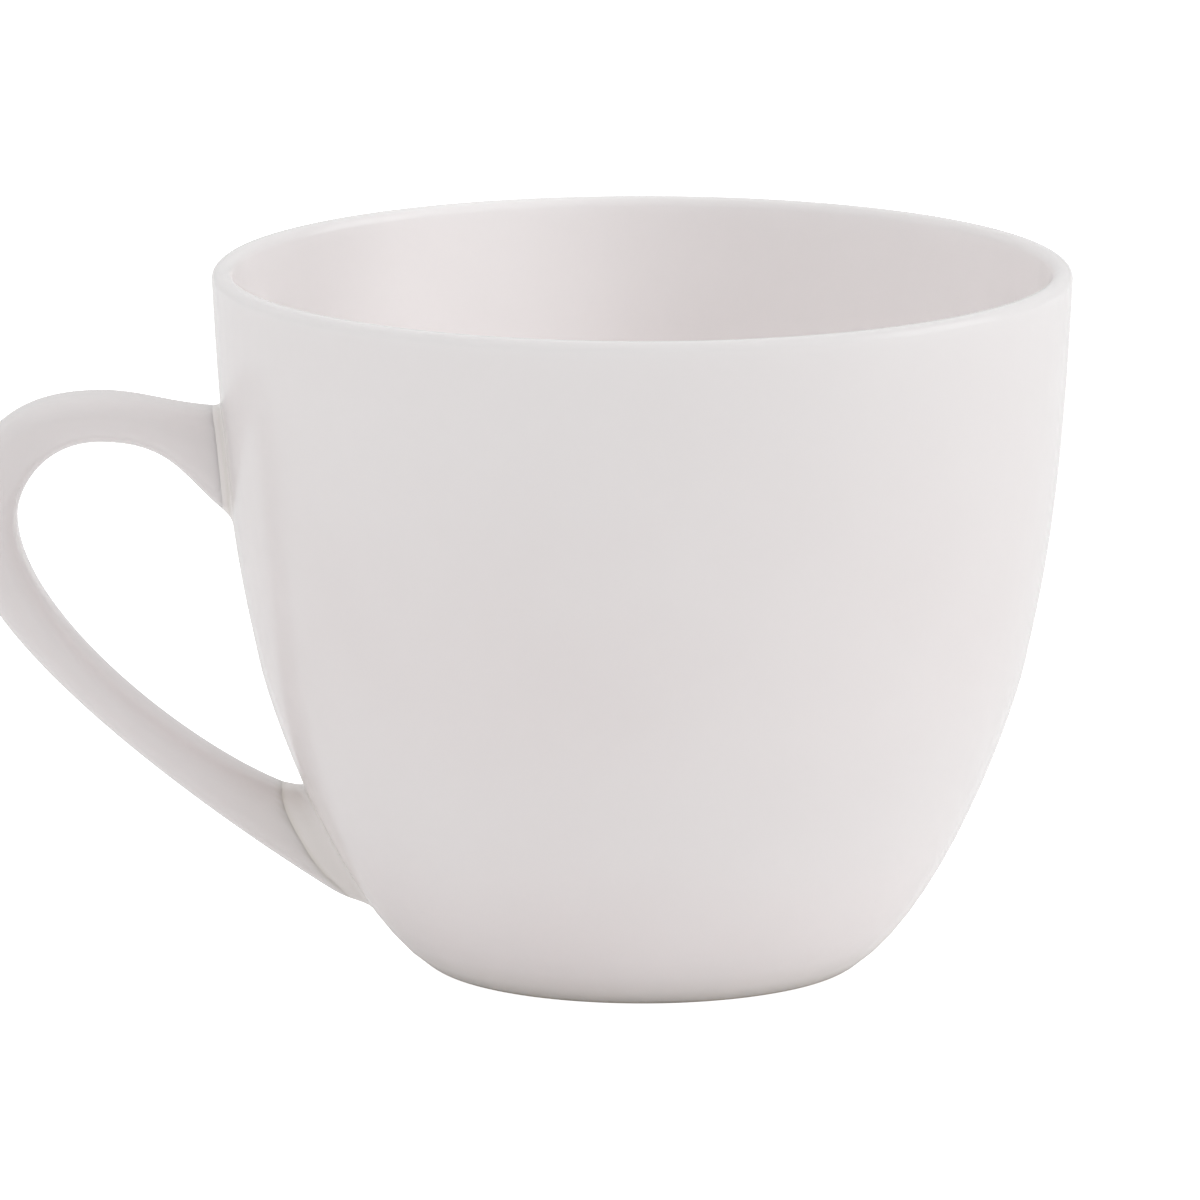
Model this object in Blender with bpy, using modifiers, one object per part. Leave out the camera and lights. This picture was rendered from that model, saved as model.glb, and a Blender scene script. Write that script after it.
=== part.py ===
"""A glazed ceramic mug: a round-bellied cup with an ear-shaped strap handle luted to its wall.

Metres, +Z up. The mug stands on z = 0 with its handle towards -X. The row's origin is on the table
under the middle of the overall box, so the cup's own axis stands at x = AXIS_X. Every part hangs from
an empty on that axis, and all the outlines below are drawn from it, as (distance from axis, height).
"""

from math import cos, pi, sin

import bmesh
import bpy
from mathutils import Vector
from mathutils.geometry import interpolate_bezier

MM = 0.001

# Driving dimensions
RIM_RADIUS = 47.25 * MM
HEIGHT = 77.6 * MM
LIP_RADIUS = 1.15 * MM  # the lip is a half-round, so the wall ends twice as thick
FOOT_RADIUS = 23.5 * MM
FOOT_RING_WIDTH = 3.3 * MM
FOOT_RECESS = 1.6 * MM
FOOT_RING_LEAN = 0.8  # how far the ring's inner side leans inward, per unit of its height
FLOOR_TOP = 5.0 * MM
HANDLE_REACH = 74.8 * MM  # from the cup's axis to the handle's outermost point
STRAP_WIDTH = 10.4 * MM
ROOT_WIDTH = 12.0 * MM
ROOT_FLARE = 3  # higher keeps the strap narrow for longer before it widens to its roots
SECTION_POWER = 2.6  # of the strap's superellipse section: 2 is an ellipse, more is squarer
SLIP_THICKNESS = 0.8 * MM
SLIP_SQUEEZE = 0.7 * MM  # how far the slip stands out round the handle's root
GAP = 0.3 * MM  # kept between parts that touch
UPPER_SLIP_ENDS = 0.25  # shares of the strap's length that reach past each slip joint
LOWER_SLIP_STARTS = 0.6
CORE_OVERRUN = 10 * MM  # how far the cores that trim the strap run past the cup's top and bottom
SAME_POINT = 0.01 * MM  # points closer than this are merged where the outline meets the axis

AXIS_X = (HANDLE_REACH - RIM_RADIUS) / 2
LIP_HEIGHT = HEIGHT - LIP_RADIUS

# How finely round things are cut
TURN_STEPS = 72
CURVE_POINTS = 12
LIP_POINTS = 8
RAIL_POINTS = 14
SECTION_POINTS = 24

# Outlines, in millimetres: Bezier segments, each its start, two handles and its end
BELLY = (42.3, 34.1)
OUTER_WALL = (
    ((RIM_RADIUS / MM, LIP_HEIGHT / MM), (45.95, 49.8), (44.2, 43.15), BELLY),
    (BELLY, (41.06, 28.2), (32.9, 5.2), (FOOT_RADIUS / MM, 0)),
)
INNER_BELLY = (38.3, 32)
INNER_WALL = (
    ((0, FLOOR_TOP / MM), (30, FLOOR_TOP / MM), (36.2, 20), INNER_BELLY),
    (INNER_BELLY, (40.3, 43.4), (43.7, 52), ((RIM_RADIUS - 2 * LIP_RADIUS) / MM, LIP_HEIGHT / MM)),
)

# The handle's two edges seen from the side: from inside the wall at the upper root, over the top,
# round the outermost point, down to the lower root, and level into the wall there
OUTER_TOP = (-59.65, 63.5)
OUTER_SIDE = (-HANDLE_REACH / MM, 48.6)
OUTER_LOW = (-34.66, 8.3)
OUTER_RAIL = (
    ((-43.5, 61.75), (-51.6, 61.75), (-54.6, OUTER_TOP[1]), OUTER_TOP),
    (OUTER_TOP, (-70.9, OUTER_TOP[1]), (OUTER_SIDE[0], 57.4), OUTER_SIDE),
    (OUTER_SIDE, (OUTER_SIDE[0], 36.75), (-49.07, 17.58), OUTER_LOW),
    (OUTER_LOW, (-33.3, 7.42), (-31.5, 6.4), (-27.8, 6.3)),
)
INNER_TOP = (-59.5, 58.4)
INNER_SIDE = (-68.8, 49.6)
INNER_LOW = (-39.99, 19.63)
INNER_RAIL = (
    ((-43, 48.8), (-50.1, 52.35), (-49.7, INNER_TOP[1]), INNER_TOP),
    (INNER_TOP, (-65.75, INNER_TOP[1]), (INNER_SIDE[0], 53.1), INNER_SIDE),
    (INNER_SIDE, (INNER_SIDE[0], 39.02), (-51.02, 24.13), INNER_LOW),
    (INNER_LOW, (-37.89, 18.78), (-36.04, 18.3), (-34.6, 18.3)),
)


def collection(name):
    made = bpy.data.collections.new(name)
    bpy.context.scene.collection.children.link(made)
    return made


def glazed(name, colour, roughness):
    """A glossy white glaze over clay."""
    material = bpy.data.materials.new(name)
    material.use_nodes = True
    shader = material.node_tree.nodes["Principled BSDF"]
    shader.inputs["Base Color"].default_value = (*colour, 1)
    shader.inputs["Roughness"].default_value = roughness
    shader.inputs["Metallic"].default_value = 0
    material.diffuse_color = (*colour, 1)
    return material


def along(segments, points_each):
    """Points along joined Bezier segments given in millimetres, as 2D vectors in metres."""
    points = []
    for segment in segments:
        knots = [Vector((x, z, 0)) * MM for x, z in segment]
        run = interpolate_bezier(*knots, points_each)
        points += [p.xy for p in (run[1:] if points else run)]
    return points


def offset(points, distance):
    """The line moved sideways by a distance, to the left of its direction."""
    moved = []
    for i, point in enumerate(points):
        before = points[max(i - 1, 0)]
        after = points[min(i + 1, len(points) - 1)]
        direction = (after - before).normalized()
        moved.append(point + distance * Vector((-direction.y, direction.x)))
    return moved


def new_object(name, mesh, material, where, parent):
    made = bpy.data.objects.new(name, mesh)
    made.parent = parent
    where.objects.link(made)
    if material:
        mesh.materials.append(material)
    return made


def turned(name, profile, material, where, parent):
    """A solid of revolution about Z from a profile that runs down its outer side."""
    mesh = bpy.data.meshes.new(name)
    mesh.from_pydata(
        [(point.x, 0, point.y) for point in profile],
        [(i, i + 1) for i in range(len(profile) - 1)],
        [],
    )
    made = new_object(name, mesh, material, where, parent)
    screw = made.modifiers.new("turn", "SCREW")
    screw.axis = "Z"
    screw.angle = 2 * pi
    screw.steps = TURN_STEPS
    screw.render_steps = TURN_STEPS
    screw.use_merge_vertices = True
    screw.merge_threshold = SAME_POINT
    screw.use_smooth_shade = True
    return made


def as_cutter(cutter):
    cutter.hide_render = True
    cutter.display_type = "WIRE"
    return cutter


def cup_profile():
    """From the middle of the cup's floor, up the inside, over the lip, down the outside, under the foot."""
    lip_centre = Vector((RIM_RADIUS - LIP_RADIUS, LIP_HEIGHT))
    lip = []
    for i in range(1, LIP_POINTS):
        turn = pi * (1 - i / LIP_POINTS)
        lip.append(lip_centre + LIP_RADIUS * Vector((cos(turn), sin(turn))))
    ring_inside = FOOT_RADIUS - FOOT_RING_WIDTH
    underside = [
        Vector((ring_inside, 0)),
        Vector((ring_inside - FOOT_RING_LEAN * FOOT_RECESS, FOOT_RECESS)),
        Vector((0, FOOT_RECESS)),
    ]
    return along(INNER_WALL, CURVE_POINTS) + lip + along(OUTER_WALL, CURVE_POINTS) + underside


def clearance_profile(distance):
    """A solid core that stands a distance proud of the cup's outer wall, and past its top and bottom."""
    wall = offset(along(OUTER_WALL, CURVE_POINTS), distance)
    above = HEIGHT + CORE_OVERRUN
    top = [Vector((0, above)), Vector((wall[0].x, above))]
    bottom = [Vector((wall[-1].x, -CORE_OVERRUN)), Vector((0, -CORE_OVERRUN))]
    return top + wall + bottom


def section(outer, inner, half_width):
    """A superellipse ring between a point on each edge, wide along Y."""
    middle = (outer + inner) / 2
    across = (outer - inner) / 2
    ring = []
    for i in range(SECTION_POINTS):
        turn = 2 * pi * i / SECTION_POINTS
        reach = [
            abs(part) ** (2 / SECTION_POWER) * (1 if part > 0 else -1)
            for part in (cos(turn), sin(turn))
        ]
        point = middle + reach[0] * across
        ring.append((point.x, reach[1] * half_width, point.y))
    return ring


def strap(name, first, last, grow, material, where, parent):
    """The handle's strap, lofted between its two edges, from one share of its length to another."""
    outer = along(OUTER_RAIL, RAIL_POINTS)
    inner = along(INNER_RAIL, RAIL_POINTS)
    end = len(outer) - 1
    shape = bmesh.new()
    rings = []
    for i in range(round(first * end), round(last * end) + 1):
        out = (outer[i] - inner[i]).normalized() * grow
        from_middle = abs(2 * i / end - 1)
        width = STRAP_WIDTH + (ROOT_WIDTH - STRAP_WIDTH) * from_middle**ROOT_FLARE
        ring = section(outer[i] + out, inner[i] - out, width / 2 + grow)
        rings.append([shape.verts.new(point) for point in ring])
    for ring, following in zip(rings, rings[1:]):
        for i in range(SECTION_POINTS):
            j = (i + 1) % SECTION_POINTS
            shape.faces.new((ring[i], ring[j], following[j], following[i]))
    shape.faces.new(rings[0])
    shape.faces.new(rings[-1])
    bmesh.ops.recalc_face_normals(shape, faces=shape.faces)
    mesh = bpy.data.meshes.new(name)
    shape.to_mesh(mesh)
    shape.free()
    mesh.shade_smooth()
    return new_object(name, mesh, material, where, parent)


def cut(target, cutter, operation):
    boolean = target.modifiers.new(cutter.name, "BOOLEAN")
    boolean.object = cutter
    boolean.operation = operation
    boolean.solver = "EXACT"


def main():
    for old in list(bpy.data.objects):
        bpy.data.objects.remove(old)
    parts = collection("ceramic_mug")
    cutters = collection("cutters")
    axis = bpy.data.objects.new("cup_axis", None)
    axis.location = (AXIS_X, 0, 0)
    parts.objects.link(axis)

    glaze = glazed("white_glaze", (0.80, 0.785, 0.78), 0.15)
    slip = glazed("glazed_slip", (0.77, 0.755, 0.735), 0.2)

    against_wall = as_cutter(turned("slip_inner_face", clearance_profile(GAP), None, cutters, axis))
    slip_face = as_cutter(
        turned("slip_outer_face", clearance_profile(GAP + SLIP_THICKNESS), None, cutters, axis)
    )
    handle_face = as_cutter(
        turned("handle_root_face", clearance_profile(2 * GAP + SLIP_THICKNESS), None, cutters, axis)
    )

    turned("cup_body", cup_profile(), glaze, parts, axis)
    handle = strap("handle", 0, 1, 0, glaze, parts, axis)
    cut(handle, handle_face, "DIFFERENCE")
    for name, first, last in (
        ("upper_slip_joint", 0, UPPER_SLIP_ENDS),
        ("lower_slip_joint", LOWER_SLIP_STARTS, 1),
    ):
        joint = strap(name, first, last, SLIP_SQUEEZE, slip, parts, axis)
        cut(joint, slip_face, "INTERSECT")
        cut(joint, against_wall, "DIFFERENCE")


main()
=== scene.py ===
# %% [markdown]
# # A white glazed ceramic mug
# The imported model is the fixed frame: it says where the cup's axis is, how wide the rim is, how high
# the mug stands and how far the handle reaches. The pieces made below stand in the same places as the
# plain solids, with a finer surface and a real glaze on them.

# %% Load the frame
from math import atan, cos, pi, radians, sin

import bmesh
import bpy
import numpy as np
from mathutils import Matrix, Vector
from mathutils.kdtree import KDTree


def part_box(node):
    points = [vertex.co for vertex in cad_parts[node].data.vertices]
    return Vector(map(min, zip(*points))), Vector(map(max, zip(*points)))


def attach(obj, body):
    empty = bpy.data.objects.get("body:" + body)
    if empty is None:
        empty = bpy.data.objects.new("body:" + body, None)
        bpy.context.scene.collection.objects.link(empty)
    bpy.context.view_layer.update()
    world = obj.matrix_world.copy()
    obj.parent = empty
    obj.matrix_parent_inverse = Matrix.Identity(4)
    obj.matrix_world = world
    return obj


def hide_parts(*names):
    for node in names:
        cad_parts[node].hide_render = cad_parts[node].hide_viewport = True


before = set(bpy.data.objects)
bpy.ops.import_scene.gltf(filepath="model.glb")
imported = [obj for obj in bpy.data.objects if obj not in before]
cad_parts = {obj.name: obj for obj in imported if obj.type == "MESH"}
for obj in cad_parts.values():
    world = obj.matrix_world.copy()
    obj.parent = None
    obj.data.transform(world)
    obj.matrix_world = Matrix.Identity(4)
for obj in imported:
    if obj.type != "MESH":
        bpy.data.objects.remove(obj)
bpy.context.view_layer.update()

MM = 0.001

# %% [markdown]
# ## Sizes
# A potter works from a few sizes. The rim, the height and the reach of the handle come from the frame,
# so that the fine pieces can't drift away from the solids. The smaller sizes, of the lip, the foot and
# the strap, are set here.

# %% The mug's sizes
cup_low, cup_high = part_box("cup_body")
handle_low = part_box("handle")[0]
AXIS_X = (cup_low[0] + cup_high[0]) / 2
RIM_RADIUS = (cup_high[0] - cup_low[0]) / 2
HEIGHT = cup_high[2]
HANDLE_REACH = AXIS_X - handle_low[0]
LIP_RADIUS = 1.15 * MM
FOOT_RADIUS = 23.5 * MM
STRAP_WIDTH = 10.4 * MM
ROOT_WIDTH = 12.0 * MM
main_sizes = (RIM_RADIUS, HEIGHT, HANDLE_REACH, AXIS_X)
print("rim, height, reach and axis, mm:", [round(size / MM, 2) for size in main_sizes])

# %% [markdown]
# ## The cup's outline
# A jiggered or cast cup is the same all the way round, so one line describes it: the line that the
# potter's template cuts. Here it is a row of Bezier segments, in millimetres from the cup's axis. It
# runs from the middle of the floor, up the inside, over the round lip, down the outside, round the
# foot ring and into the recess under the cup. Each segment is a start, two handles and an end, and
# where two segments meet their handles lie on one line, so that no crease shows in the gloss.

# %% Segments of the outline
RIM = RIM_RADIUS / MM
TOP = HEIGHT / MM
LIP = LIP_RADIUS / MM
ROUND = 0.5523  # handle length of a Bezier quarter circle, as a share of its radius
LIP_LEAN = 0.05  # how far the wall leans outward at the lip, per unit of height
LIP_LOW = TOP - LIP
BELLY = (42.3, 34.1)
INNER_BELLY = (38.3, 32)
FLOOR = 5.0


def cut_segment(segment, share):
    """The first part of a Bezier segment, up to a share of its parameter."""
    a, b, c, d = (np.array(point, float) for point in segment)
    ab, bc, cd = (p + (q - p) * share for p, q in ((a, b), (b, c), (c, d)))
    abc, bcd = ab + (bc - ab) * share, bc + (cd - bc) * share
    return (tuple(a), tuple(ab), tuple(abc), tuple(abc + (bcd - abc) * share))


def straight(start, end):
    """A straight run written as a Bezier segment."""
    a, b = np.array(start, float), np.array(end, float)
    return (tuple(a), tuple(a + (b - a) / 3), tuple(b - (b - a) / 3), tuple(b))


inside = [
    ((0, FLOOR), (30, FLOOR), (36.2, 20), INNER_BELLY),
    (INNER_BELLY, (40.3, 43.4), (43.7, 52), (RIM - 2 * LIP, LIP_LOW)),
]
lip = [
    ((RIM - 2 * LIP, LIP_LOW), (RIM - 2 * LIP + LIP_LEAN * ROUND, LIP_LOW + ROUND * LIP),
     (RIM - LIP - ROUND * LIP, TOP), (RIM - LIP, TOP)),
    ((RIM - LIP, TOP), (RIM - LIP + ROUND * LIP, TOP),
     (RIM + LIP_LEAN * ROUND, LIP_LOW + ROUND * LIP), (RIM, LIP_LOW)),
]
wall = [
    ((RIM, LIP_LOW), (45.95, 49.8), (44.2, 43.15), BELLY),
    (BELLY, (41.06, 28.2), (32.9, 5.2), (FOOT_RADIUS / MM, 0)),
]
print(len(inside + lip + wall), "segments from the floor to the foot")

# %% [markdown]
# The glaze is wiped off the foot before firing, or the mug would stick to the kiln shelf. It stops in
# a rounded edge just above the table, and bare clay shows below it and on the ring that the mug
# stands on. Inside the ring the base is hollowed a little and glazed again.

# %% The foot's segments
GLAZE_STOPS = 0.972  # share of the lower wall's curve that is glazed
RING_OUT = (23.1, 0)  # the mug stands on the flat between these two
RING_IN = (20.7, 0)
RECESS = 1.95  # how deep the base is hollowed at its middle
glazed_wall = cut_segment(wall[1], GLAZE_STOPS)
glaze_edge = glazed_wall[3]
bare_edge = (glaze_edge[0] - 0.2, glaze_edge[1] - 0.1)
recess_edge = (19.3, 1.35)
foot = [
    straight(glaze_edge, bare_edge),
    (bare_edge, (bare_edge[0] - 0.25, 0.14), (RING_OUT[0] + 0.3, 0), RING_OUT),
    straight(RING_OUT, RING_IN),
    (RING_IN, (20.2, 0), (20.1, 0.25), (19.9, 0.6)),
    ((19.9, 0.6), (19.75, 0.9), (19.6, 1.2), recess_edge),
    (recess_edge, (18.6, 1.65), (10, RECESS), (0, RECESS)),
]
outline = inside + lip + [wall[0], glazed_wall] + foot
print("glaze stops", round(glaze_edge[1], 2), "mm above the table")

# %% [markdown]
# ## Turning the cup
# The outline becomes a curve object, and a Geometry Nodes tree turns it round the axis, as a wheel
# would. The tree lays out a flat grid with one row for each point of the outline and one column for
# each step of the turn, then moves each grid point to its place: the outline says how far out and how
# high, and the column says the angle. A Screw modifier could turn the outline too, but a tree can also
# give each angle a slight error of its own. Fired clay is never quite round, and it is that error of
# a few hundredths of a millimetre that keeps long reflections from looking drawn with a ruler.

# %% The outline as a curve


def outline_curve(name, segments, points_each):
    curve = bpy.data.curves.new(name, "CURVE")
    curve.dimensions = "3D"
    curve.resolution_u = points_each
    spline = curve.splines.new("BEZIER")
    spline.bezier_points.add(len(segments))
    knots = spline.bezier_points
    for knot in knots:
        knot.handle_left_type = "FREE"
        knot.handle_right_type = "FREE"
    for i, (start, first, second, end) in enumerate(segments):
        knots[i].co = (start[0] * MM, 0, start[1] * MM)
        knots[i].handle_right = (first[0] * MM, 0, first[1] * MM)
        knots[i + 1].handle_left = (second[0] * MM, 0, second[1] * MM)
        knots[i + 1].co = (end[0] * MM, 0, end[1] * MM)
    made = bpy.data.objects.new(name, curve)
    bpy.context.scene.collection.objects.link(made)
    return made


OUTLINE_POINTS = 14
cup_outline = outline_curve("cup_outline", outline, OUTLINE_POINTS)
print("outline has", len(cup_outline.data.splines[0].bezier_points), "knots")

# %% [markdown]
# ## The glaze
# The mug is white clay under a clear glossy glaze. Light goes through the glaze, scatters in the clay
# and comes back soft and slightly warm, while the glaze's own surface mirrors the room. A Principled
# shader does both at once: its base is the clay, and its specular layer is the glaze. Fired porcelain
# is also translucent: daylight on the outside of a thin wall shows faintly on the inside. Subsurface
# scattering does that, a few millimetres deep. It is faded out where the handle's upper root backs the
# wall, because no light reaches the outside there, and the slip fillets have none, being thin skins that
# are partly buried. Several small things keep it all from looking like plastic:
# - the white drifts by a percent or two over centimetres, because the coat isn't the same everywhere;
# - the surface rolls very gently, and finer ripples a millimetre across sit on that;
# - the gloss is a little duller in some places than in others;
# - where glaze pools in a corner it is thicker and turns faintly yellow-green; the same darker tint is
#   also painted shade in the joints' creases, round the lower root and just above the foot, and the
#   pieces carry both as an attribute.

# %% Helpers for shader trees


def new_material(name):
    material = bpy.data.materials.new(name)
    material.use_nodes = True
    material.node_tree.nodes.clear()
    return material


def add(tree, kind, values=(), **settings):
    """A node with its settings and its input values; values maps a socket's name to a number."""
    node = tree.nodes.new(kind)
    for key, value in settings.items():
        setattr(node, key, value)
    for key, value in dict(values).items():
        node.inputs[key].default_value = value
    return node


def noise(tree, where, scale, detail, roughness=0.5):
    made = add(tree, "ShaderNodeTexNoise", {"Scale": scale, "Detail": detail, "Roughness": roughness})
    tree.links.new(where, made.inputs["Vector"])
    return made.outputs["Fac"]


NOISE_LOW = 0.3  # nearly all of a noise texture's values lie between these two
NOISE_HIGH = 0.7


def spread(tree, value, low, high):
    """Noise values, which crowd round a half, spread out to run from low to high."""
    made = add(
        tree, "ShaderNodeMapRange",
        {"From Min": NOISE_LOW, "From Max": NOISE_HIGH, "To Min": low, "To Max": high},
    )
    tree.links.new(value, made.inputs["Value"])
    return made.outputs["Result"]


def mixed(tree, share, first, second):
    """Two colours mixed; each is a socket or a colour."""
    made = add(tree, "ShaderNodeMix", data_type="RGBA")
    tree.links.new(share, made.inputs["Factor"])
    for colour, socket in ((first, made.inputs["A"]), (second, made.inputs["B"])):
        if isinstance(colour, tuple):
            socket.default_value = (*colour, 1)
        else:
            tree.links.new(colour, socket)
    return made.outputs["Result"]


def bumped(tree, height, distance, under=None):
    made = add(tree, "ShaderNodeBump", {"Strength": 1, "Distance": distance})
    tree.links.new(height, made.inputs["Height"])
    if under:
        tree.links.new(under, made.inputs["Normal"])
    return made.outputs["Normal"]


def centred(tree):
    """Object coordinates measured from the cup's axis."""
    place = add(tree, "ShaderNodeTexCoord")
    shift = add(tree, "ShaderNodeMapping", {"Location": (-AXIS_X, 0, 0)})
    tree.links.new(place.outputs["Object"], shift.inputs["Vector"])
    return shift.outputs["Vector"]


# %% The glaze material
CLAY_WHITE = (0.865, 0.823, 0.820)
CLAY_PALE = (0.890, 0.850, 0.847)
# partly pooled glaze and partly painted shade: darker and yellower at the joints, round the lower root and
# above the foot
POOL_AND_SHADE_TINT = (0.60, 0.56, 0.44)
# painted light: the slip is lighter than the cup's clay to lift the shade at the joints, standing in for the
# light that subsurface scattering would bring
LIT_SLIP_WHITE = (0.935, 0.89, 0.872)
LIT_SLIP_PALE = (0.95, 0.907, 0.89)
GLAZE_INDEX = 1.52
SHINIEST = 0.12  # roughness
DULLEST = 0.2
DRIFT_SCALE = 28  # noise scales, in features per metre: a higher one is finer
ROLL_SCALE = 55
RIPPLE_SCALE = 700
GLOSS_SCALE = 90
ROLL_HEIGHT = 0.12 * MM
RIPPLE_HEIGHT = 0.004 * MM


def glaze_material(name, white, pale, translucent, depth, backed_by=None):
    """Glaze over clay; backed_by names an attribute that is 1 where thick clay stops the light."""
    material = new_material(name)
    tree = material.node_tree
    where = centred(tree)
    drift = spread(tree, noise(tree, where, DRIFT_SCALE, 2), 0, 1)
    clay = mixed(tree, drift, white, pale)
    # this tint is partly pooled glaze and partly painted shade in the creases, round the lower root and
    # above the foot
    pool_and_shade = add(tree, "ShaderNodeAttribute", attribute_name="pool_and_shade")
    colour = mixed(tree, pool_and_shade.outputs["Fac"], clay, POOL_AND_SHADE_TINT)
    roll = bumped(tree, noise(tree, where, ROLL_SCALE, 1), ROLL_HEIGHT)
    ripple = bumped(tree, noise(tree, where, RIPPLE_SCALE, 2), RIPPLE_HEIGHT, roll)
    dull = spread(tree, noise(tree, where, GLOSS_SCALE, 3), SHINIEST, DULLEST)
    shader = add(
        tree, "ShaderNodeBsdfPrincipled",
        {
            "IOR": GLAZE_INDEX, "Metallic": 0,
            "Subsurface Weight": translucent, "Subsurface Radius": (1, 1, 1), "Subsurface Scale": depth,
        },
    )
    if backed_by:
        backed = add(tree, "ShaderNodeAttribute", attribute_name=backed_by)
        thin = add(tree, "ShaderNodeMapRange", {"To Min": translucent, "To Max": 0.0})
        tree.links.new(backed.outputs["Fac"], thin.inputs["Value"])
        tree.links.new(thin.outputs["Result"], shader.inputs["Subsurface Weight"])
    tree.links.new(colour, shader.inputs["Base Color"])
    tree.links.new(dull, shader.inputs["Roughness"])
    tree.links.new(ripple, shader.inputs["Normal"])
    output = add(tree, "ShaderNodeOutputMaterial")
    tree.links.new(shader.outputs["BSDF"], output.inputs["Surface"])
    return material


white_glaze = glaze_material(
    "white_glaze", CLAY_WHITE, CLAY_PALE, translucent=0.85, depth=5 * MM, backed_by="backed"
)
handle_glaze = glaze_material(
    "white_glaze_on_handle", CLAY_WHITE, CLAY_PALE, translucent=0.8, depth=2 * MM
)
slip_glaze = glaze_material("glaze_over_slip", LIT_SLIP_WHITE, LIT_SLIP_PALE, translucent=0.0, depth=1 * MM)
print("glazes:", white_glaze.name, handle_glaze.name, slip_glaze.name)

# %% [markdown]
# ## Bare clay
# The ring under the foot has no glaze. Fired porcelain there is matt, a little darker and warmer than
# the glazed wall, with a grain that can be felt, and it picks up grey from the tables it slides on.

# %% The bare clay material
BARE_WHITE = (0.70, 0.655, 0.60)
BARE_RUBBED = (0.60, 0.565, 0.525)
GRAIN_SCALE = 2600
RUBBED_SCALE = 160
GRAIN_HEIGHT = 0.03 * MM
CLAY_ROUGHNESS = 0.85
CLAY_INDEX = 1.45


def clay_material(name):
    material = new_material(name)
    tree = material.node_tree
    where = centred(tree)
    grain = noise(tree, where, GRAIN_SCALE, 4, roughness=0.7)
    rubbed = spread(tree, noise(tree, where, RUBBED_SCALE, 4), 0, 1)
    colour = mixed(tree, rubbed, BARE_WHITE, BARE_RUBBED)
    shader = add(tree, "ShaderNodeBsdfPrincipled", {"Roughness": CLAY_ROUGHNESS, "IOR": CLAY_INDEX})
    tree.links.new(colour, shader.inputs["Base Color"])
    tree.links.new(bumped(tree, grain, GRAIN_HEIGHT), shader.inputs["Normal"])
    output = add(tree, "ShaderNodeOutputMaterial")
    tree.links.new(shader.outputs["BSDF"], output.inputs["Surface"])
    return material


bare_clay = clay_material("bare_clay")
print("bare clay:", bare_clay.name)

# %% [markdown]
# ## The wheel, as a node tree
# Helpers first: one adds a node and links what goes into it, and one adds a math node. The tree then
# reads as a sentence: take the outline's points, make a grid with a row for each, find each grid
# point's row and column, and place it.

# %% Helpers for geometry trees


def node(tree, kind, links=None, **settings):
    """A geometry node with its settings. links maps an input's name or number to a socket or value."""
    made = tree.nodes.new(kind)
    for key, value in settings.items():
        setattr(made, key, value)
    for key, value in (links or {}).items():
        if isinstance(value, bpy.types.NodeSocket):
            tree.links.new(value, made.inputs[key])
        else:
            made.inputs[key].default_value = value
    return made


def reckon(tree, operation, first, second=0.0):
    return node(tree, "ShaderNodeMath", {0: first, 1: second}, operation=operation).outputs[0]


def named_input(tree, name, kind, value=None):
    socket = tree.interface.new_socket(name, in_out="INPUT", socket_type="NodeSocket" + kind)
    if value is not None:
        socket.default_value = value
    return socket.identifier


# %% The wheel
WAVES_ROUND = 0.9  # how quickly the error of roundness changes round the cup, and up it per metre
WAVES_UP = 18.0
SAME_POINT = 0.002 * MM


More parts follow.
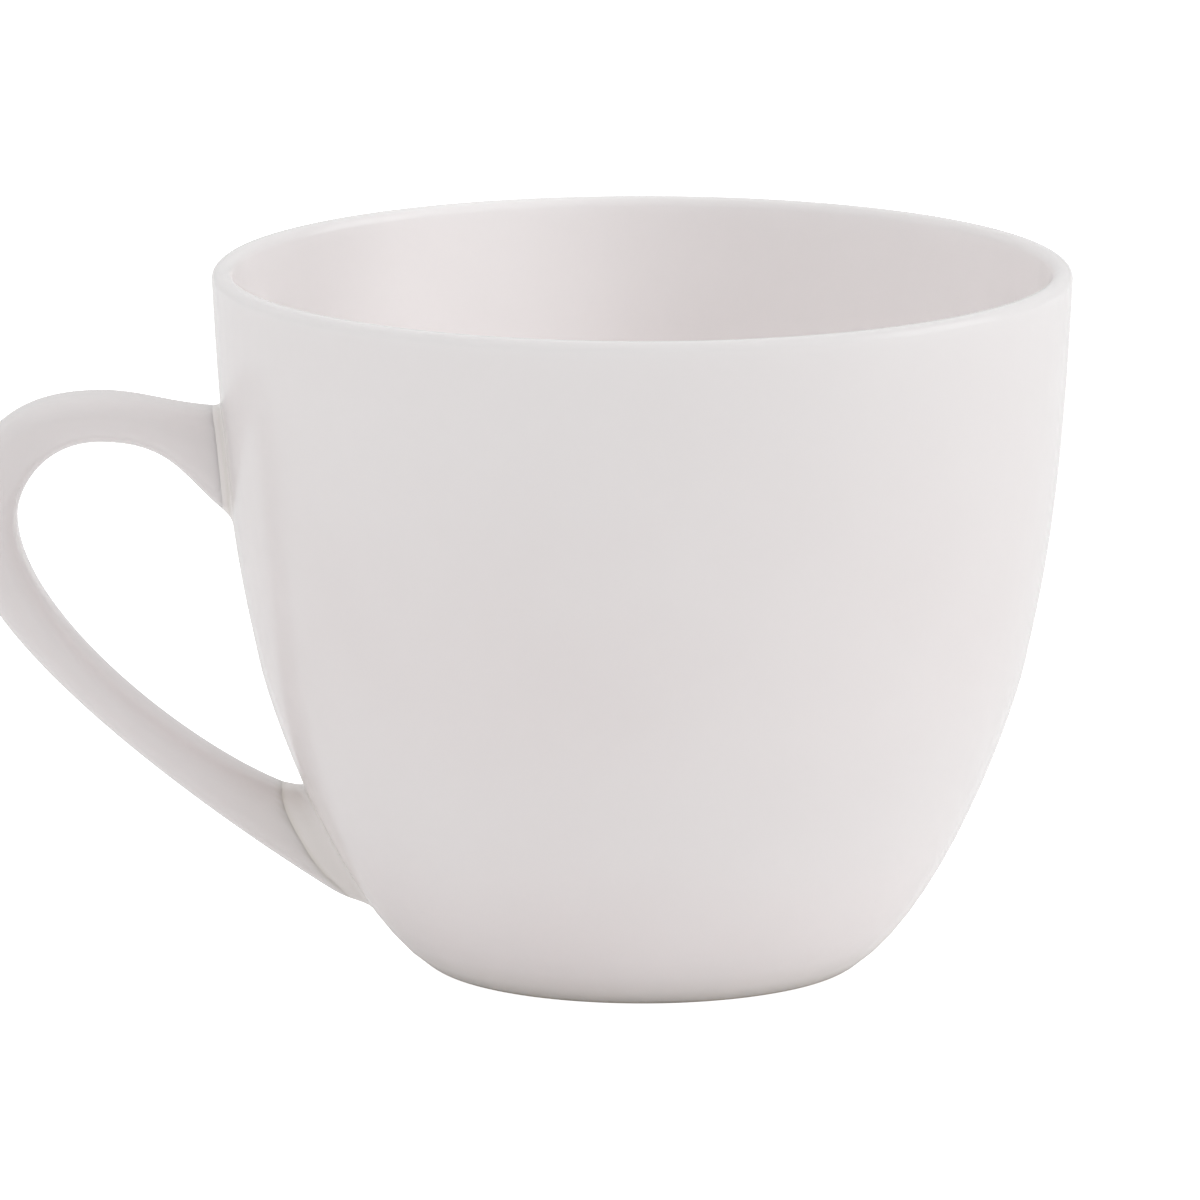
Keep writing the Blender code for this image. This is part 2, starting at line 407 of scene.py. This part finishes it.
def wheel_tree():
    tree = bpy.data.node_groups.new("turn_on_the_wheel", "GeometryNodeTree")
    named_input(tree, "Outline", "Geometry")
    ids = {
        "Steps": named_input(tree, "Steps", "Int", 240),
        "Out of round": named_input(tree, "Out of round", "Float", 0.0),
        "Axis": named_input(tree, "Axis", "Vector"),
        "Glaze line": named_input(tree, "Glaze line", "Float", 0.0),
        "Glaze": named_input(tree, "Glaze", "Material"),
        "Bare clay": named_input(tree, "Bare clay", "Material"),
    }
    tree.interface.new_socket("Cup", in_out="OUTPUT", socket_type="NodeSocketGeometry")
    given = node(tree, "NodeGroupInput").outputs

    wire = node(tree, "GeometryNodeCurveToMesh", {"Curve": given["Outline"]}).outputs[0]
    rows = node(tree, "GeometryNodeAttributeDomainSize", {"Geometry": wire}).outputs["Point Count"]
    columns = reckon(tree, "ADD", given["Steps"], 1)
    grid = node(
        tree, "GeometryNodeMeshGrid",
        {"Size X": 1.0, "Size Y": 1.0, "Vertices X": columns, "Vertices Y": rows},
    ).outputs["Mesh"]

    index = node(tree, "GeometryNodeInputIndex").outputs[0]
    row = reckon(tree, "MODULO", index, rows)
    column = reckon(tree, "FLOOR", reckon(tree, "DIVIDE", reckon(tree, "ADD", index, 0.5), rows))
    step = reckon(tree, "DIVIDE", 2 * pi, given["Steps"])
    turn = reckon(tree, "MULTIPLY", column, step)
    place = node(
        tree, "GeometryNodeSampleIndex",
        {"Geometry": wire, "Value": node(tree, "GeometryNodeInputPosition").outputs[0], "Index": row},
        data_type="FLOAT_VECTOR",
    ).outputs["Value"]
    point = node(tree, "ShaderNodeSeparateXYZ", {0: place}).outputs
    side = node(
        tree, "ShaderNodeCombineXYZ",
        {"X": reckon(tree, "COSINE", turn), "Y": reckon(tree, "SINE", turn), "Z": 0.0},
    ).outputs[0]

    waves = node(tree, "ShaderNodeVectorMath", {0: side, "Scale": WAVES_ROUND}, operation="SCALE").outputs[0]
    lifted = node(
        tree, "ShaderNodeCombineXYZ",
        {"X": 0.0, "Y": 0.0, "Z": reckon(tree, "MULTIPLY", point["Z"], WAVES_UP)},
    ).outputs[0]
    spot = node(tree, "ShaderNodeVectorMath", {0: waves, 1: lifted}, operation="ADD").outputs[0]
    error = node(tree, "ShaderNodeTexNoise", {"Vector": spot, "Scale": 1.0, "Detail": 1.0}).outputs[0]
    error = reckon(tree, "MULTIPLY", reckon(tree, "SUBTRACT", error, 0.5), given["Out of round"])
    share = reckon(tree, "DIVIDE", point["X"], RIM_RADIUS)
    radius = reckon(tree, "ADD", point["X"], reckon(tree, "MULTIPLY", error, share))

    out = node(tree, "ShaderNodeVectorMath", {0: side, "Scale": radius}, operation="SCALE").outputs[0]
    up = node(tree, "ShaderNodeCombineXYZ", {"X": 0.0, "Y": 0.0, "Z": point["Z"]}).outputs[0]
    placed = node(tree, "ShaderNodeVectorMath", {0: out, 1: up}, operation="ADD").outputs[0]
    placed = node(tree, "ShaderNodeVectorMath", {0: placed, 1: given["Axis"]}, operation="ADD").outputs[0]
    turned = node(tree, "GeometryNodeSetPosition", {"Geometry": grid, "Position": placed}).outputs[0]
    closed = node(
        tree, "GeometryNodeMergeByDistance", {"Geometry": turned, "Distance": SAME_POINT}
    ).outputs[0]

    here = node(tree, "ShaderNodeSeparateXYZ", {0: node(tree, "GeometryNodeInputPosition").outputs[0]})
    below = node(
        tree, "FunctionNodeCompare",
        {0: here.outputs["Z"], 1: given["Glaze line"]}, operation="LESS_THAN", data_type="FLOAT",
    ).outputs[0]
    smooth = node(tree, "GeometryNodeSetShadeSmooth", {"Geometry": closed}).outputs[0]
    real = node(tree, "GeometryNodeRealizeInstances", {"Geometry": smooth}).outputs[0]
    glazed = node(
        tree, "GeometryNodeSetMaterial", {"Geometry": real, "Material": given["Glaze"]}
    ).outputs[0]
    footed = node(
        tree, "GeometryNodeSetMaterial",
        {"Geometry": glazed, "Selection": below, "Material": given["Bare clay"]},
    ).outputs[0]
    node(tree, "NodeGroupOutput", {"Cup": footed})
    return tree, ids


wheel, wheel_inputs = wheel_tree()
print("the wheel has", len(wheel.nodes), "nodes")

# %% [markdown]
# The tree goes on the outline as a modifier. Its inputs are set by each socket's identifier before
# the curve is first evaluated. The result is then taken off as a plain mesh, and the curve is thrown
# away, as the template would be put back on its hook.

# %% Turn the cup


def taken_off(source, name):
    """The evaluated shape of an object as a plain mesh object; the source is removed."""
    graph = bpy.context.evaluated_depsgraph_get()
    mesh = bpy.data.meshes.new_from_object(source.evaluated_get(graph), depsgraph=graph)
    mesh.name = name
    made = bpy.data.objects.new(name, mesh)
    bpy.context.scene.collection.objects.link(made)
    bpy.data.objects.remove(source)
    return made


def faced_outwards(mesh):
    shape = bmesh.new()
    shape.from_mesh(mesh)
    bmesh.ops.recalc_face_normals(shape, faces=shape.faces)
    volume = shape.calc_volume(signed=True)
    open_edges = sum(not edge.is_manifold for edge in shape.edges)
    shape.to_mesh(mesh)
    shape.free()
    return volume, open_edges


STEPS = 288
OUT_OF_ROUND = 0.12 * MM  # the noise reaches about a fifth of this either way
UNDER_GLAZE_EDGE = 0.02 * MM

turning = cup_outline.modifiers.new("turn", "NODES")
turning.node_group = wheel
turning[wheel_inputs["Steps"]] = STEPS
turning[wheel_inputs["Out of round"]] = OUT_OF_ROUND
turning[wheel_inputs["Axis"]] = (AXIS_X, 0, 0)
turning[wheel_inputs["Glaze line"]] = glaze_edge[1] * MM - UNDER_GLAZE_EDGE
turning[wheel_inputs["Glaze"]] = white_glaze
turning[wheel_inputs["Bare clay"]] = bare_clay
cup = taken_off(cup_outline, "glazed_cup")
volume, open_edges = faced_outwards(cup.data)
print("cup:", len(cup.data.polygons), "faces,", open_edges, "open edges")
print("clay in the cup, cm3:", round(volume / (10 * MM) ** 3, 1))

# %% [markdown]
# ## The handle's strap
# The handle is a strap pressed in its own mould: an ear seen from the side, and a flattened oval in
# section. Its side view is two edges, an outer and an inner one, that start inside the wall at the
# upper root and end inside the wall at the lower one. A curve with a bevel would keep one thickness
# all the way, so the strap is lofted instead: at each step along it, an oval is stretched between the
# two edges. The loft is kept as a grid of points, so that the next step can trim it to the wall.

# %% The strap's two edges
OUTER_TOP = (-59.65, 63.5)
OUTER_SIDE = (-HANDLE_REACH / MM, 48.6)
OUTER_LOW = (-34.66, 8.3)
outer_edge = [
    ((-43.5, 61.75), (-51.6, 61.75), (-54.6, OUTER_TOP[1]), OUTER_TOP),
    (OUTER_TOP, (-70.9, OUTER_TOP[1]), (OUTER_SIDE[0], 57.4), OUTER_SIDE),
    (OUTER_SIDE, (OUTER_SIDE[0], 36.75), (-49.07, 17.58), OUTER_LOW),
    (OUTER_LOW, (-33.3, 7.42), (-31.5, 6.4), (-27.8, 6.3)),
]
INNER_TOP = (-59.5, 58.4)
INNER_SIDE = (-68.8, 49.6)
INNER_LOW = (-39.99, 19.63)
inner_edge = [
    ((-43, 48.8), (-50.1, 52.35), (-49.7, INNER_TOP[1]), INNER_TOP),
    (INNER_TOP, (-65.75, INNER_TOP[1]), (INNER_SIDE[0], 53.1), INNER_SIDE),
    (INNER_SIDE, (INNER_SIDE[0], 39.02), (-51.02, 24.13), INNER_LOW),
    (INNER_LOW, (-37.89, 18.78), (-36.04, 18.3), (-34.6, 18.3)),
]


def along(segments, count):
    """Points along joined Bezier segments, in metres."""
    share = np.linspace(0, 1, count)[:, None]
    runs = []
    for segment in segments:
        a, b, c, d = (np.array(point, float) * MM for point in segment)
        left = 1 - share
        runs.append(left**3 * a + 3 * left**2 * share * b + 3 * left * share**2 * c + share**3 * d)
    return np.vstack([runs[0]] + [run[1:] for run in runs[1:]])


EDGE_POINTS = 90
outer_line = along(outer_edge, EDGE_POINTS)
inner_line = along(inner_edge, EDGE_POINTS)
thickness = np.linalg.norm(outer_line - inner_line, axis=1) / MM
print("strap, mm:", round(thickness.min(), 2), "at its thinnest,", round(thickness.max(), 2), "at its roots")

# %% The strap as a grid of points
AROUND = 96
SECTION_POWER = 3.0  # 2 makes an ellipse, more makes it squarer
ROOT_FLARE = 3  # higher keeps the strap narrow for longer before it widens to its roots
turns = 2 * pi * np.arange(AROUND) / AROUND


def rounded(wave):
    """A sine or cosine squared off into a superellipse."""
    return np.sign(wave) * np.abs(wave) ** (2 / SECTION_POWER)


middle = (outer_line + inner_line) / 2
across = (outer_line - inner_line) / 2
from_middle = np.abs(np.linspace(-1, 1, len(middle)))
half_width = (STRAP_WIDTH + (ROOT_WIDTH - STRAP_WIDTH) * from_middle**ROOT_FLARE) / 2
side_view = middle[:, None, :] + across[:, None, :] * rounded(np.cos(turns))[None, :, None]
sideways = half_width[:, None] * rounded(np.sin(turns))[None, :]
strap = np.stack([side_view[..., 0], sideways, side_view[..., 1]], axis=-1)
print("strap grid:", strap.shape[0], "sections of", strap.shape[1], "points, from the cup's axis")

# %% [markdown]
# ## Fitting the strap to the wall
# A potter cuts the ends of the strap to the curve of the cup before luting it on. The same is done
# here: for each line that runs the length of the strap, the places where it meets the wall are found,
# and the line is laid out afresh between them, ending a little inside the clay. The new points sit
# closer together towards the roots, where the shape changes fastest.

# %% How far a point is outside the wall
WALL_POINTS = 200
JUST_ABOVE_TABLE = 0.2 * MM  # the wall is followed no lower than this
wall_line = along(wall, WALL_POINTS)
wall_height = wall_line[::-1, 1]
wall_radius = wall_line[::-1, 0]
wall_lean = np.gradient(wall_radius, wall_height)


def outside(points):
    """Distance from the cup's outer wall, measured square to it; negative inside the clay."""
    radius = np.hypot(points[..., 0], points[..., 1])
    height = points[..., 2]
    lean = np.interp(height, wall_height, wall_lean)
    return (radius - np.interp(height, wall_height, wall_radius)) / np.sqrt(1 + lean**2)


def on_wall(points, lift=0.0):
    """The points moved straight out or in from the axis until they are this far outside the wall."""
    height = np.maximum(points[..., 2], JUST_ABOVE_TABLE)
    lean = np.interp(height, wall_height, wall_lean)
    radius = np.interp(height, wall_height, wall_radius) + lift * np.sqrt(1 + lean**2)
    share = radius / np.hypot(points[..., 0], points[..., 1])
    return np.stack([points[..., 0] * share, points[..., 1] * share, points[..., 2]], axis=-1)


# %% Trim every line of the strap
LENGTH_POINTS = 200
BURIED = 0.5 * MM  # how far the strap's ends go into the clay
CROWDING = 0.12  # 0 spaces the points evenly, more crowds them towards the roots


def crossing(line, clear, level):
    """Where a line of points first comes out past a level, as a fractional index."""
    first = int(np.argmax(clear > level))
    return first - 1 + (level - clear[first - 1]) / (clear[first] - clear[first - 1])


def at(line, places):
    """Points at fractional indices of a line."""
    index = np.arange(len(line))
    return np.stack([np.interp(places, index, line[:, k]) for k in range(3)], axis=-1)


eased = np.linspace(0, 1, LENGTH_POINTS)
eased = eased - CROWDING * np.sin(2 * pi * eased)
trimmed = np.empty((LENGTH_POINTS, AROUND, 3))
for k in range(AROUND):
    line = strap[:, k]
    clear = outside(line)
    start = crossing(line, clear, -BURIED)
    stop = len(line) - 1 - crossing(line[::-1], clear[::-1], -BURIED)
    trimmed[:, k] = at(line, start + (stop - start) * eased)
print("upper root", np.round(trimmed[0, 0] / MM, 1), "lower root", np.round(trimmed[-1, 0] / MM, 1))

# %% [markdown]
# ## From a grid of points to a piece
# The helper joins a grid of points into a closed skin: round each ring, along the length, and, where
# asked, over both ends. The cup's axis is not at the frame's origin, so the points are moved there
# as the mesh is made, and the object itself stays at the origin.

# %% Skin a grid
CRISP_ABOVE = radians(50)  # faces that meet at more than this are shaded apart


def skin(name, rings, material, capped):
    """A mesh object from rings of points; capped closes the two ends, and otherwise they are joined."""
    shape = bmesh.new()
    rows = [[shape.verts.new((x + AXIS_X, y, z)) for x, y, z in ring] for ring in rings]
    pairs = list(zip(rows, rows[1:])) if capped else list(zip(rows, rows[1:] + rows[:1]))
    for ring, following in pairs:
        for i in range(len(ring)):
            j = (i + 1) % len(ring)
            shape.faces.new((ring[i], ring[j], following[j], following[i]))
    if capped:
        for ring in (rows[0], rows[-1]):
            centre = shape.verts.new(sum((v.co for v in ring), Vector()) / len(ring))
            for i, vert in enumerate(ring):
                shape.faces.new((vert, ring[(i + 1) % len(ring)], centre))
    bmesh.ops.recalc_face_normals(shape, faces=shape.faces)
    for edge in shape.edges:
        edge.smooth = edge.calc_face_angle(0) < CRISP_ABOVE
    mesh = bpy.data.meshes.new(name)
    open_edges = sum(not edge.is_manifold for edge in shape.edges)
    shape.to_mesh(mesh)
    shape.free()
    mesh.shade_smooth()
    mesh.materials.append(material)
    made = bpy.data.objects.new(name, mesh)
    bpy.context.scene.collection.objects.link(made)
    print(name, len(mesh.polygons), "faces,", open_edges, "open edges")
    return made


handle = skin("strap_handle", trimmed, handle_glaze, capped=True)

# %% [markdown]
# ## The slip joints
# The handle is stuck on with slip, and the slip that squeezes out is wiped into a small hollow
# fillet. At the upper root the strap meets the wall nearly square, and the fillet is thin and even.
# At the lower root the strap comes in at a slant: slip gathers in the sharp corner above it and leaves
# a strip about 3 mm wide, with a fine crease where it ends on the strap, and there is little of it
# below. Each fillet is a ring with a profile: it starts on the strap, bends through the corner and
# runs out on the wall, and its hidden back is buried in both.

# %% Points of a joint
FILLET_POINTS = 16
STEEPNESS = 6  # how fast a fillet rises to its full height at both ends


def root_lines(lines, level):
    """For each line of the strap, from a root outwards: its point this far outside the wall."""
    levels = np.broadcast_to(level, (lines.shape[1],))
    found = [
        at(lines[:, k], crossing(lines[:, k], outside(lines[:, k]), levels[k]))
        for k in range(lines.shape[1])
    ]
    return np.array(found)


def unit(vectors):
    return vectors / np.linalg.norm(vectors, axis=-1, keepdims=True)


def joint_rings(lines, reach_on_strap, reach_on_wall, proud, buried):
    """Rings of a fillet round a root, one for each point of its profile."""
    corner = root_lines(lines, 0.0)
    on_strap = root_lines(lines, reach_on_strap)
    tangent = unit(np.roll(corner, -1, axis=0) - np.roll(corner, 1, axis=0))
    upright = unit(on_wall(corner, 1 * MM) - on_wall(corner, 0))
    away = unit(np.cross(tangent, upright))
    centre = corner.mean(axis=0)
    if ((corner - centre) * away).sum() < 0:
        away = -away
    far = on_wall(corner + away * np.asarray(reach_on_wall)[..., None])
    along_strap = unit(on_strap - corner)
    off_strap = unit(np.cross(tangent, along_strap))
    if ((corner - centre) * off_strap).sum() < 0:
        off_strap = -off_strap
    rings = []
    for share in np.linspace(0, 1, FILLET_POINTS):
        left = 1 - share
        point = left**2 * on_strap + 2 * left * share * corner + share**2 * far
        lift = unit(left * off_strap + share * upright)
        bulge = proud * min(1, STEEPNESS * share, STEEPNESS * left)
        rings.append(point + lift * bulge)
    rings.append(on_wall(far, -buried))
    rings.append(on_wall(corner, -buried) - off_strap * buried)
    rings.append(on_strap - off_strap * buried)
    return rings


# %% Make both joints
strap_facing = np.cos(turns)  # 1 on the strap's outer edge, -1 on its inner edge
FILLET_BACK = 0.35 * MM  # how deep a fillet's hidden back is buried
upper_on_strap = 0.9 * MM
upper_on_wall = np.full(AROUND, 0.8 * MM)
upper_rings = joint_rings(strap, upper_on_strap, upper_on_wall, proud=0.05 * MM, buried=FILLET_BACK)
upper = skin("upper_slip_fillet", upper_rings, slip_glaze, capped=False)
lower_on_strap = (2.9 - 0.75 * strap_facing - 1.25 * strap_facing**2) * MM
lower_on_wall = (1.1 - 0.4 * strap_facing) * MM
lower_rings = joint_rings(strap[::-1], lower_on_strap, lower_on_wall, proud=0.06 * MM, buried=FILLET_BACK)
lower = skin("lower_slip_fillet", lower_rings, slip_glaze, capped=False)

# %% [markdown]
# ## Pooled glaze and painted shade
# Molten glaze creeps into corners. Each piece gets an attribute that is high along the joints and just
# above the foot and falls off round them, faintly and broadly round the lower root, and the glaze
# material tints itself darker and yellower by it. The tint is partly pooled glaze and partly painted
# shade: it darkens the creases at the joints, the strap and wall round the lower root, and the band
# just above the foot, where shade falls.
# The cup gets a second one, backed, that is 1 behind the handle's upper root.

# %% Mark where glaze pools and shade is painted, and where thick clay backs the wall


def mark(piece, name, spots):
    """An attribute with the strongest of several spots, each a line of points, a width and a strength."""
    mesh = piece.data
    depth = np.zeros(len(mesh.vertices))
    for line, width, strength in spots:
        tree = KDTree(len(line))
        for i, point in enumerate(line):
            tree.insert((point[0] + AXIS_X, point[1], point[2]), i)
        tree.balance()
        distance = np.array([tree.find(vert.co)[2] for vert in mesh.vertices])
        depth = np.maximum(depth, strength * np.exp(-((distance / width) ** 2)))
    attribute = mesh.attributes.new(name, "FLOAT", "POINT")
    attribute.data.foreach_set("value", np.minimum(depth, 1))


foot_height = np.full(AROUND, glaze_edge[1] * MM)
foot_circle = np.stack([np.cos(turns) * FOOT_RADIUS, np.sin(turns) * FOOT_RADIUS, foot_height], axis=-1)
# The corner marks are painted shade as well as pooled glaze.
IN_CORNER = 0.1 * MM  # a corner's glaze is deepest this far outside the wall
AROUND_LOWER_ROOT = 2 * MM
upper_corner = root_lines(strap, IN_CORNER)
lower_corner = root_lines(strap[::-1], IN_CORNER)
lower_crease = root_lines(strap[::-1], lower_on_strap)
shade_round_lower_root = root_lines(strap[::-1], AROUND_LOWER_ROOT)
# painted shade with pooled glaze in the corners and the crease; the broad spot round the lower root is
# painted shade only; the band above the foot is both
pool_and_shade_spots = [  # where, how wide and how strong
    (upper_corner, 0.35 * MM, 0.32),
    (lower_crease, 0.45 * MM, 0.35),
    (lower_corner, 0.5 * MM, 0.24),
    (shade_round_lower_root, 7 * MM, 0.08),
    (foot_circle, 4 * MM, 0.2),
]
for piece in (cup, handle, upper, lower):
    mark(piece, "pool_and_shade", pool_and_shade_spots)
root_ring = root_lines(strap, 0.0)
root_centre = root_ring.mean(axis=0)
root_face = np.vstack([root_centre + (root_ring - root_centre) * share for share in (0, 0.5, 1)])
mark(cup, "backed", [(root_face, 5 * MM, 1.4)])  # the strength over 1 gives it a flat top
print(len(pool_and_shade_spots), "pools marked on each piece")

# %% [markdown]
# ## What rides on what
# A mug has no moving parts, so every piece rides on the one body. Each fine piece stands for its
# plain solid, which is hidden.

# %% Tell the frame
for piece, solid, finish in (
    (cup, "cup_body", "white_glaze"),
    (handle, "handle", "white_glaze"),
    (upper, "upper_slip_joint", "glazed_slip"),
    (lower, "lower_slip_joint", "glazed_slip"),
):
    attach(piece, "root")
    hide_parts(solid)

# %% [markdown]
# ## The studio
# The mug stands on a white table in a white room. A broad soft light from the right makes that side
# of the cup the brightest, the ceiling lights the inside, and the table lights the mug from below.
# White clay shows its shape only through such small differences. The table is the kind that glows, as
# product studios use to lose the shadow. Its full glow is only for the eye: as a lamp for the mug it
# glows much less, or the mug's underside would be as bright as its top.

# %% The table
TABLE_GLOW = 0.85
TABLE_BASE_GLOW = 0.09
TABLE_WHITE = 0.92
TABLE_ROUGHNESS = 0.6
TABLE_HALF = 6.0  # half its side, in metres


def glowing_table(name, half):
    """A white sheet that glows for the eye, but lights the mug only with what it reflects."""
    shape = bmesh.new()
    bmesh.ops.create_grid(shape, x_segments=8, y_segments=8, size=half)
    mesh = bpy.data.meshes.new(name)
    shape.to_mesh(mesh)
    shape.free()
    material = new_material(name + "_acrylic")
    tree = material.node_tree
    seen = add(tree, "ShaderNodeLightPath")
    glow = add(tree, "ShaderNodeMath", {1: TABLE_GLOW, 2: TABLE_BASE_GLOW}, operation="MULTIPLY_ADD")
    tree.links.new(seen.outputs["Is Camera Ray"], glow.inputs[0])
    shader = add(
        tree, "ShaderNodeBsdfPrincipled",
        {
            "Base Color": (TABLE_WHITE, TABLE_WHITE, TABLE_WHITE, 1), "Roughness": TABLE_ROUGHNESS,
            "Emission Color": (1, 1, 1, 1),
        },
    )
    tree.links.new(glow.outputs[0], shader.inputs["Emission Strength"])
    output = add(tree, "ShaderNodeOutputMaterial")
    tree.links.new(shader.outputs["BSDF"], output.inputs["Surface"])
    mesh.materials.append(material)
    made = bpy.data.objects.new(name, mesh)
    bpy.context.scene.collection.objects.link(made)
    return made


table_top = glowing_table("table_top", TABLE_HALF)

# %% The room
WALLS = 0.535
CEILING = 0.77
BEHIND = 1.3  # the wall behind the mug, as a share of the others
IN_FRONT = 0.95


def graded(tree, value, start, first, last):
    """A share that goes evenly from first, where the value is start, to last, where it is 1."""
    made = add(
        tree, "ShaderNodeMapRange", {"From Min": start, "From Max": 1.0, "To Min": first, "To Max": last}
    )
    tree.links.new(value, made.inputs["Value"])
    return made.outputs["Result"]


def room():
    """A white room: a little brighter behind the mug than in front, and graded towards the ceiling."""
    world = bpy.data.worlds.new("white_room")
    bpy.context.scene.world = world
    world.use_nodes = True
    tree = world.node_tree
    tree.nodes.clear()
    where = add(tree, "ShaderNodeTexCoord")
    split = add(tree, "ShaderNodeSeparateXYZ")
    tree.links.new(where.outputs["Generated"], split.inputs[0])
    level = add(tree, "ShaderNodeMath", operation="MULTIPLY")
    tree.links.new(graded(tree, split.outputs["Z"], 0.0, WALLS, CEILING), level.inputs[0])
    tree.links.new(graded(tree, split.outputs["Y"], -1.0, IN_FRONT, BEHIND), level.inputs[1])
    background = add(tree, "ShaderNodeBackground", {"Color": (1, 1, 1, 1)})
    tree.links.new(level.outputs[0], background.inputs["Strength"])
    output = add(tree, "ShaderNodeOutputWorld")
    tree.links.new(background.outputs["Background"], output.inputs["Surface"])


room()

# %% [markdown]
# Three lamps add to the room. One is a softbox nearly two metres wide on the right. Two are narrow
# beams into the cup, which would look dull inside without them. One hangs straight over it, and lights
# the floor of the cup, so that the light that comes back up fills the inside. The other crosses the
# mouth from the right to the far wall, and leaves a soft bright patch left of the middle.

# %% The lamps
MIDDLE = Vector((AXIS_X, 0, HEIGHT / 2))
MOUTH = Vector((AXIS_X, 0, HEIGHT))
FAR_WALL = Vector((AXIS_X - 18.5 * MM, 40 * MM, 65 * MM))
LAMP_DISTANCE = 2.5
SOFTBOX_SIDE = 1.8
SOFTBOX_POWER = 12
BEAM_SOFTNESS = 0.8  # share of a beam that is its faded edge
BEAM_SOURCE = 8 * MM


def hang(name, light, aim, azimuth, elevation):
    """Puts a lamp round the cup and aims it; azimuth 0 is in front and 90 on the right."""
    lamp = bpy.data.objects.new(name, light)
    a, e = radians(azimuth), radians(elevation)
    back = Vector((sin(a) * cos(e), -cos(a) * cos(e), sin(e)))
    lamp.location = aim + back * LAMP_DISTANCE
    lamp.rotation_euler = (-back).to_track_quat("-Z", "Y").to_euler()
    bpy.context.scene.collection.objects.link(lamp)
    return lamp


def beam(name, aim, radius, azimuth, elevation, power):
    """A narrow soft-edged beam, hidden from reflections so that it leaves no glint."""
    light = bpy.data.lights.new(name, "SPOT")
    light.spot_size = 2 * atan(radius / LAMP_DISTANCE)
    light.spot_blend = BEAM_SOFTNESS
    light.shadow_soft_size = BEAM_SOURCE
    light.energy = power
    hang(name, light, aim, azimuth, elevation).visible_glossy = False


softbox = bpy.data.lights.new("softbox", "AREA")
softbox.size = SOFTBOX_SIDE
softbox.energy = SOFTBOX_POWER
hang("right_softbox", softbox, MIDDLE, azimuth=90, elevation=24)
beam("beam_on_the_far_wall", FAR_WALL, radius=19 * MM, azimuth=50, elevation=30, power=50)
beam("beam_over_the_cup", MOUTH, radius=36 * MM, azimuth=0, elevation=90, power=130)

# %% [markdown]
# ## The camera
# A long lens from 1.6 m away, looking a little down, so that the far lip shows above the near one and
# the sides hardly converge. A small shift sets the mug to the right of the middle, and the handle's
# end passes out of the picture.

# %% Set the camera
CAMERA_DISTANCE = 1.6
CAMERA_ELEVATION = 11.34
FRAME_SIDE = 1200
PER_METRE = 9071.0  # how many parts of the frame's side a metre at the cup's axis takes up
SENSOR = 36.0
SHIFT_RIGHT = 0.0353  # of the mug in the frame, as a share of the frame's side
SHIFT_DOWN = 0.0111

camera_data = bpy.data.cameras.new("camera")
camera_data.sensor_width = SENSOR
camera_data.lens = PER_METRE * CAMERA_DISTANCE / FRAME_SIDE * SENSOR
camera_data.shift_x = -SHIFT_RIGHT
camera_data.shift_y = SHIFT_DOWN
camera_data.clip_start = 0.1
camera_data.clip_end = 50
camera = bpy.data.objects.new("camera", camera_data)
tilt = radians(CAMERA_ELEVATION)
camera.location = (AXIS_X, -CAMERA_DISTANCE * cos(tilt), HEIGHT / 2 + CAMERA_DISTANCE * sin(tilt))
camera.rotation_euler = (pi / 2 - tilt, 0, 0)
bpy.context.scene.collection.objects.link(camera)
bpy.context.scene.camera = camera
bpy.context.scene.view_settings.view_transform = "Standard"
print("lens", round(camera_data.lens), "mm")
